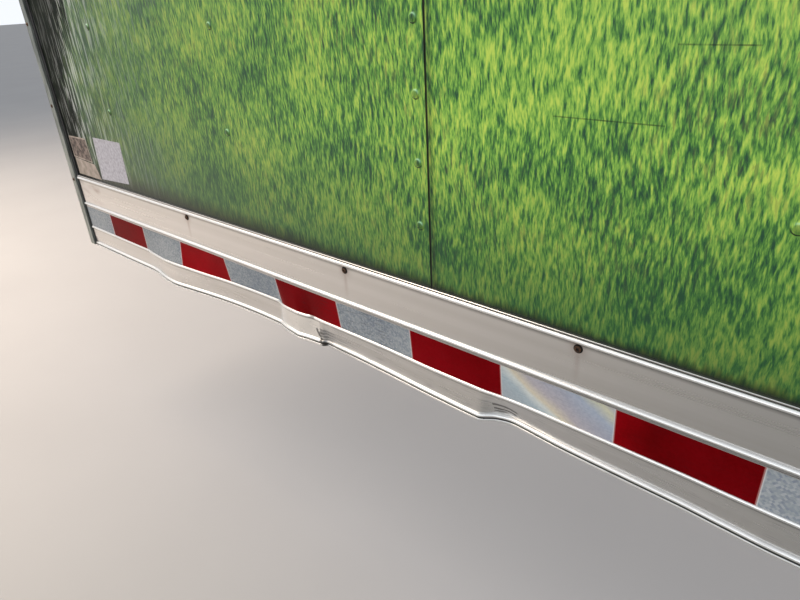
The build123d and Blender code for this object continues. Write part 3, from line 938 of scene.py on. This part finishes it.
class SIDEWALL_OT_tape(bpy.types.Operator):
    """Lays the red and white reflective tape, which follows the dents"""

    bl_idname = "side_wall.tape"
    bl_label = "Reflective tape"

    def execute(self, context):
        sizes = context.scene.side_wall_rail
        tape = context.scene.side_wall_tape
        face = SKIN_Y - sizes.thickness
        rows = steps(TAPE_TOP, TAPE_TOP - sizes.tape_height, 0.005)
        outline = [(face - tape.thickness, z) for z in rows] + [(face, z) for z in reversed(rows)]
        start = FRONT_X + tape.first_red
        before = int((start - RAIL_LOW.x) // tape.piece)
        after = int((RAIL_HIGH.x - start) // tape.piece)
        first, last = RAIL_LOW.x + MM, RAIL_HIGH.x - MM
        cuts = [start + tape.piece * i for i in range(-before, after + 1)]
        edges = [RAIL_LOW.x, *(x for x in cuts if first < x < last), RAIL_HIGH.x]
        red = (tape.red_deep, tape.red, tape.red_bright)
        white = (tape.white_deep, tape.white, tape.white_bright)
        for is_red, tint, shades, end_code, cell_share, tones in (
            (True, "red", red, "#b98480", 0.12, RED_TONES),
            (False, "white", white, "#cfcdcb", 0.5, WHITE_TONES),
        ):
            material = prism_film(tint + "_prismatic_film", tape, shades, end_code, cell_share, tones)
            vertices, faces = [], []
            for x_from, x_to in zip(edges, edges[1:]):
                number = round((x_from - start) / tape.piece)
                if (number % 2 == 0 and x_from > first) != is_red:
                    continue
                stations = steps(x_from, x_to, 0.004)
                more = sweep(outline, stations, lambda x, z: push_in(x, z, sizes), len(vertices))
                vertices += more[0]
                faces += more[1]
            piece = mesh_piece("tape_" + tint + "_film", vertices, faces, [material])
            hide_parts("tape_" + tint)
        return {"FINISHED"}


class SIDEWALL_OT_skin(bpy.types.Operator):
    """Gives the skin sheets their printed wrap and sets the rivets under it"""

    bl_idname = "side_wall.skin"
    bl_label = "Printed skin and rivets"

    def execute(self, context):
        sizes = context.scene.side_wall_fasteners
        material = printed_wrap(context.scene.side_wall_wrap)
        for name in named("skin_sheet"):
            dress(name, material)
        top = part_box("top_rail")[0].z
        self.lap_strips(material, top)
        places = []
        for number, post in enumerate(POST_XS):
            offset = RIVET_OFFSETS[number] * MM if number < len(RIVET_OFFSETS) else 0.0
            at_seam = any(0.0 < seam - post < 0.03 for seam in SEAM_XS)
            pitch = sizes.seam_pitch if at_seam else sizes.post_pitch
            lowest = sizes.lowest_rivet if at_seam else sizes.lowest_post_rivet
            places += [(post + offset, z) for z in up_to(lowest, top - 0.02, pitch)]
        profile = dome(sizes.rivet_radius, sizes.rivet_height)
        rivets = heads_piece(
            "skin_rivets", places, SKIN_Y, -1.0, profile, SMALL_SIDES, material
        )
        # painted highlight as a crescent on the upper right of each rivet, painted shadow along its lower
        # edge, and a darker top
        crown, rim = [], []
        for ring in range(len(profile)):
            share = ring / (len(profile) - 1)
            for side in range(SMALL_SIDES):
                angle = 2 * math.pi * side / SMALL_SIDES
                crown.append(0.9 * max(0.0, math.cos(angle - 1.2)) ** 2 * bell(share - 0.4, 0.16))
                rim.append(0.95 * max(0.0, -math.sin(angle + 0.3)) * (share < 0.35) + 0.35 * (share > 0.6))
        write_marks(rivets, crown=crown * len(places), rim=rim * len(places))
        return {"FINISHED"}

    def lap_strips(self, material, top):
        """Thin overlaps of the wrap behind each seam, which show as a second fine line."""
        gap, width, proud = 2.2 * MM, 9.0 * MM, 0.35 * MM
        vertices, faces = [], []
        for seam in SEAM_XS:
            near = seam + gap
            far = near + width
            faces += ring_faces(len(vertices), 2, 4)
            section = ((near, SKIN_Y), (near, SKIN_Y - proud), (far, SKIN_Y - proud), (far, SKIN_Y))
            vertices += [(x, y, z) for z in (RAIL_HIGH.z, top) for x, y in section]
        mesh_piece("skin_seam_laps", vertices, faces, [material])


class SIDEWALL_OT_screws(bpy.types.Operator):
    """Sets the screws in the rails and the corner trim"""

    bl_idname = "side_wall.screws"
    bl_label = "Rail and trim screws"

    def execute(self, context):
        sizes = context.scene.side_wall_fasteners
        # zinc plated steel, rusted through the plating: brown, matt and pitted
        rusty = mottled("rusted_zinc_screw", "#2a1d15", "#6e4e36", 3.125, 0.6, 0.85, Metallic=0.4)
        head = pan_head(sizes)
        sides = 24
        face = SKIN_Y - context.scene.side_wall_rail.thickness
        places = [(x, sizes.screw_level) for x in rail_screw_xs()]
        screws = heads_piece("bottom_rail_screws", places, face, -1.0, head, sides, rusty)
        # dirt round the washer, and painted shade in the driver recess
        burnt = [0.95 if ring < 4 or ring > 6 else 0.15 for ring in range(len(head)) for side in range(sides)]
        write_marks(screws, burnt=burnt * len(places))
        low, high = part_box("top_rail")
        lamps = [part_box(name) for name in named("marker_lamp")]
        clear, inset = 0.01, 0.04
        places = [
            (x, (low.z + high.z) / 2)
            for x in steps(low.x + inset, high.x - inset, sizes.screw_pitch)
            if all(not near.x - clear < x < far.x + clear for near, far in lamps)
        ]
        heads_piece("top_rail_screws", places, face, -1.0, head, sides, rusty)
        small = pan_head(sizes, 0.7, 0.7)
        lowest = TRIM_SCREW_LEVEL * MM - 2 * sizes.trim_pitch
        levels = up_to(lowest, TRIM_HIGH.z - 0.02, sizes.trim_pitch)
        edge = 0.014
        for name, x in (
            ("front_trim_screws", TRIM_LOW.x + edge),
            ("rear_trim_screws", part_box("rear_corner_trim")[1].x - edge),
        ):
            heads_piece(name, [(x, z) for z in levels], TRIM_LOW.y, -1.0, small, SMALL_SIDES, rusty)
        return {"FINISHED"}


class SIDEWALL_OT_labels(bpy.types.Operator):
    """Lays the blank labels above the front end of the bottom rail"""

    bl_idname = "side_wall.labels"
    bl_label = "Blank labels"

    def execute(self, context):
        # a printed film left outdoors: its face has gone brown and blotchy
        brown = mottled("weathered_brown_label", "#3b3431", "#84776f", 8.333, 0.5, 0.75, IOR=1.3)
        # paper backing where the film has gone: matt and yellowed in broad clouds
        paper = mottled("weathered_label_paper", "#82796f", "#a69b92", 16.667, 0.5, 0.75, IOR=1.3)
        # white polyester film, greyed by dust in fine speckles
        white = mottled("weathered_white_label", "#97969d", "#b4b3ba", 6.667, 0.45, 0.7, IOR=1.3)
        # material, lift off the skin and corners as (place, height), all in millimetres
        shapes = (
            ("blank_label_foot", paper, 0.1, ((45, 116), (142, 110), (158, 77), (45, 77))),
            ("blank_label_edge", paper, 0.1, ((42, 166), (128, 167), (134, 113), (42, 117))),
            ("blank_label_front", brown, 0.4, ((45, 163), (125.5, 164), (131, 116), (45, 120))),
            ("blank_label_rear", white, 0.1, ((170, 174), (293, 175.5), (290, 87), (163, 80))),
        )
        thickness, bevel = 0.25, 0.3 * MM
        for name, material, lift, corners in shapes:
            count = len(corners)
            back = [Vector((at(place), SKIN_Y - lift * MM, height * MM)) for place, height in corners]
            middle = sum(back, Vector()) / count
            front = [corner - (corner - middle).normalized() * bevel for corner in back]
            vertices = back + [Vector((x, SKIN_Y - (lift + thickness) * MM, z)) for x, _, z in front]
            mesh_piece(name, vertices, ring_faces(0, 2, count), [material])
        return {"FINISHED"}


class SIDEWALL_OT_trim(bpy.types.Operator):
    """Finishes the corner trims, their sealant and the roof edge trim"""

    bl_idname = "side_wall.trim"
    bl_label = "Trims and sealant"

    def execute(self, context):
        weathered = weathered_aluminium()
        # bead of sealant smoothed by hand: black, matt and a little wavy
        sealant = mottled("weathered_black_sealant", "#0c0d0e", "#26272a", 22.222, 0.55, 0.8, IOR=1.45)
        for end in ("front", "rear"):
            dress(end + "_corner_trim", weathered)
            dress(end + "_corner_seal", sealant)
        dress("top_rail", shared("mill_finish_aluminium", mill_aluminium, context.scene.side_wall_rail))
        return {"FINISHED"}


class SIDEWALL_OT_frame(bpy.types.Operator):
    """Paints the steel tube frame"""

    bl_idname = "side_wall.steel_frame"
    bl_label = "Steel frame"

    def execute(self, context):
        enamel = black_enamel()
        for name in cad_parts:
            if name.endswith(("_tube", "_post")) or name.startswith("side_post"):
                dress(name, enamel)
        return {"FINISHED"}


class SIDEWALL_OT_lining(bpy.types.Operator):
    """Finishes the plywood lining and sets its screws"""

    bl_idname = "side_wall.lining"
    bl_label = "Plywood lining"

    def execute(self, context):
        sizes = context.scene.side_wall_fasteners
        wood = rotary_plywood()
        for name in named("lining_panel"):
            dress(name, wood)
        # steel plated with zinc and left bright: cool grey with small dull spots
        zinc = mottled("zinc_plated_screw", "#7f8286", "#b9bcbf", 4.167, 0.3, 0.5, Metallic=1.0)
        aside, foot, head_room = 0.011, 0.06, 0.03
        places = []
        for x in POST_XS:
            at_joint = any(abs(x - joint) < 0.01 for joint in LINING_JOINT_XS)
            columns = (x - aside, x + aside) if at_joint else (x,)
            for z in up_to(LINING_LOW.z + foot, LINING_HIGH.z - head_room, sizes.lining_pitch):
                places += [(column, z) for column in columns]
        head = pan_head(sizes, 0.8, 0.7)
        heads_piece("lining_screws", places, LINING_HIGH.y, 1.0, head, SMALL_SIDES, zinc)
        return {"FINISHED"}


class SIDEWALL_OT_lamps(bpy.types.Operator):
    """Builds the two side marker lamps, each a black foot with a moulded lens"""

    bl_idname = "side_wall.lamps"
    bl_label = "Marker lamps"

    # inset from the lamp's outline and height above the rail, in millimetres
    foot_rings = ((0.0, 0.0), (0.0, 4.0), (0.8, 4.9), (4.2, 5.0))
    lens_rings = ((5.0, 4.6), (5.2, 9.0), (6.4, 13.5), (8.6, 16.4), (11.4, 17.6), (13.6, 17.9))

    def execute(self, context):
        # moulded with a fine texture: even black, half matt
        plastic = mottled("black_moulded_plastic", "#121315", "#1e1f21", 3.333, 0.4, 0.55, IOR=1.46)
        lenses = (
            ("marker_lamp_front", "amber_moulded_lens", "#c2600a", "#e58a1c", "amber_lens"),
            ("marker_lamp_rear", "red_moulded_lens", "#7d0a0c", "#b3171a", "red_lens"),
        )
        for node, name, dark, light, slot in lenses:
            # acrylic moulded in a polished tool: deep even colour under a clear gloss
            lens = mottled(name, dark, light, 14.286, 0.12, 0.22, IOR=1.49, Coat_Weight=0.4)
            low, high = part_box(node)
            vertices, faces, kinds = [], [], []
            for kind, rings in enumerate((self.foot_rings, self.lens_rings)):
                first = len(vertices)
                for inset, height in rings:
                    vertices += self.ring(low, high, inset * MM, height * MM)
                faces += ring_faces(first, len(rings), (len(vertices) - first) // len(rings))
                kinds += [kind] * (len(faces) - len(kinds))
            piece = mesh_piece(node + "_assembly", vertices, faces, [plastic, lens], 30.0, kinds)
            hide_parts(node)
        return {"FINISHED"}

    def ring(self, low, high, inset, height):
        """Points round a lamp's outline with half round ends, inset and raised off the rail."""
        arc = 16
        radius = (high.z - low.z) / 2 - inset
        reach = (high.x - low.x) / 2 - inset - radius
        middle_x, middle_z = (low.x + high.x) / 2, (low.z + high.z) / 2
        points = []
        for side in (1, -1):
            for k in range(arc + 1):
                angle = -math.pi / 2 + math.pi * k / arc + (0 if side == 1 else math.pi)
                x = middle_x + side * reach + radius * math.cos(angle)
                points.append((x, high.y - height, middle_z + radius * math.sin(angle)))
        return points


class SIDEWALL_OT_stage(bpy.types.Operator):
    """Lays the floor and places the lights and the camera"""

    bl_idname = "side_wall.stage"
    bl_label = "Stage"

    # name, place, aim, width, height, spread in degrees, power and colour of each soft light
    lights = (
        ("ahead_softbox", (-4.2, -1.3, 2.7), (-4.2, -1.1, -0.5), 3.6, 3.0, 110.0, 178.0, "#ffead4"),
        ("near_softbox", (-1.75, -1.1, 0.9), (-1.75, -1.0, -0.5), 0.9, 0.9, 90.0, 2.2, "#fff4e8"),
        ("front_softbox", (-0.3, -3.8, 0.9), (-0.3, 0.0, 0.9), 5.0, 1.8, 80.0, 6.0, "#ffffff"),
        ("inside_softbox", (0.4, 4.0, 3.0), (0.0, 0.0, 0.9), 4.0, 2.5, 180.0, 120.0, "#ffffff"),
    )

    # the camera's place in metres, and its right, up and back directions
    camera_place = (-0.56352, -0.58752, 0.42907)
    camera_axes = (
        (0.75452107, 0.65433972, -0.05037347),
        (-0.26440111, 0.37333709, 0.88921959),
        (0.60065798, -0.65761611, 0.45469885),
    )

    def execute(self, context):
        scene = context.scene
        look = scene.side_wall_stage
        self.lay_floor(scene, RAIL_LOW.z - look.floor_drop, look.floor)
        # a pale sky that is a little brighter near the horizon
        scene.world = bpy.data.worlds.new("studio")
        scene.world.use_nodes = True
        tree = scene.world.node_tree
        background = tree.nodes["Background"]
        background.inputs["Color"].default_value = linear("#eef2f8")
        way = add(tree, "TexCoord").outputs["Generated"]
        height = add(tree, "SeparateXYZ", {"Vector": way}).outputs["Z"]
        strength = add(tree, "MapRange", {"Value": height}, {"From Max": 0.45, "To Min": 1.1, "To Max": 0.95})
        join(tree, strength, background.inputs["Strength"])
        for name, place, aim, width, height, spread, power, code in self.lights:
            data = bpy.data.lights.new(name, "AREA")
            data.shape = "RECTANGLE"
            data.size = width
            data.size_y = height
            data.spread = math.radians(spread)
            data.energy = power
            data.color = linear(code)[:3]
            lamp = bpy.data.objects.new(name, data)
            lamp.location = place
            lamp.rotation_euler = (Vector(aim) - Vector(place)).to_track_quat("-Z", "Y").to_euler()
            scene.collection.objects.link(lamp)
        camera = bpy.data.objects.new("camera", bpy.data.cameras.new("camera"))
        camera.data.sensor_width = 36.0
        camera.data.lens = look.lens / MM
        camera.data.clip_start = 0.01
        camera.data.clip_end = 300.0
        turn = Matrix(self.camera_axes).transposed().to_4x4()
        camera.matrix_world = Matrix.Translation(self.camera_place) @ turn
        scene.collection.objects.link(camera)
        scene.camera = camera
        scene.view_settings.view_transform = "Standard"
        return {"FINISHED"}

    def lay_floor(self, scene, level, pale):
        """Plain floor, painted with a matt pale paint that is barely cloudy, in clouds of half a metre."""
        reach = 60.0
        mesh = bpy.data.meshes.new("studio_floor")
        corners = ((-reach, -reach), (reach, -reach), (reach, reach), (-reach, reach))
        mesh.from_pydata([(x, y, level) for x, y in corners], [], [(0, 1, 2, 3)])
        material, tree, shader = new_material("pale_floor_paint", Roughness=0.85, IOR=1.45)
        place = add(tree, "TexCoord").outputs["Object"]
        clouds = add(tree, "TexNoise", {"Vector": place}, {"Scale": per(500), "Detail": 4.0})
        darker = tuple(c * 0.95 for c in pale[:3]) + (1.0,)
        tint = add(tree, "ValToRGB", {"Fac": clouds}, stops=((0.3, darker), (0.7, pale)))
        join(tree, tint, shader.inputs["Base Color"])
        mesh.materials.append(material)
        floor = bpy.data.objects.new("studio_floor", mesh)
        scene.collection.objects.link(floor)


OPERATORS = (
    SIDEWALL_OT_bottom_rail,
    SIDEWALL_OT_tape,
    SIDEWALL_OT_skin,
    SIDEWALL_OT_screws,
    SIDEWALL_OT_labels,
    SIDEWALL_OT_trim,
    SIDEWALL_OT_frame,
    SIDEWALL_OT_lining,
    SIDEWALL_OT_lamps,
    SIDEWALL_OT_stage,
)


class SIDEWALL_PT_panel(bpy.types.Panel):
    """Lists the pieces of the wall"""

    bl_idname = "SIDEWALL_PT_panel"
    bl_label = "Cargo trailer side wall"
    bl_space_type = "VIEW_3D"
    bl_region_type = "UI"
    bl_category = "Side wall"

    def draw(self, context):
        for name, group in GROUPS.items():
            box = self.layout.box()
            for key in group.__annotations__:
                box.prop(getattr(context.scene, name), key)
        for operator in OPERATORS:
            self.layout.operator(operator.bl_idname)


CLASSES = (*GROUPS.values(), *OPERATORS, SIDEWALL_PT_panel)


def register():
    for one in CLASSES:
        bpy.utils.register_class(one)
    for name, group in GROUPS.items():
        setattr(bpy.types.Scene, name, PointerProperty(type=group))


def unregister():
    for name in GROUPS:
        delattr(bpy.types.Scene, name)
    for one in reversed(CLASSES):
        bpy.utils.unregister_class(one)


def main():
    register()
    for operator in OPERATORS:
        family, name = operator.bl_idname.split(".")
        getattr(getattr(bpy.ops, family), name)()


if __name__ == "__main__":
    main()
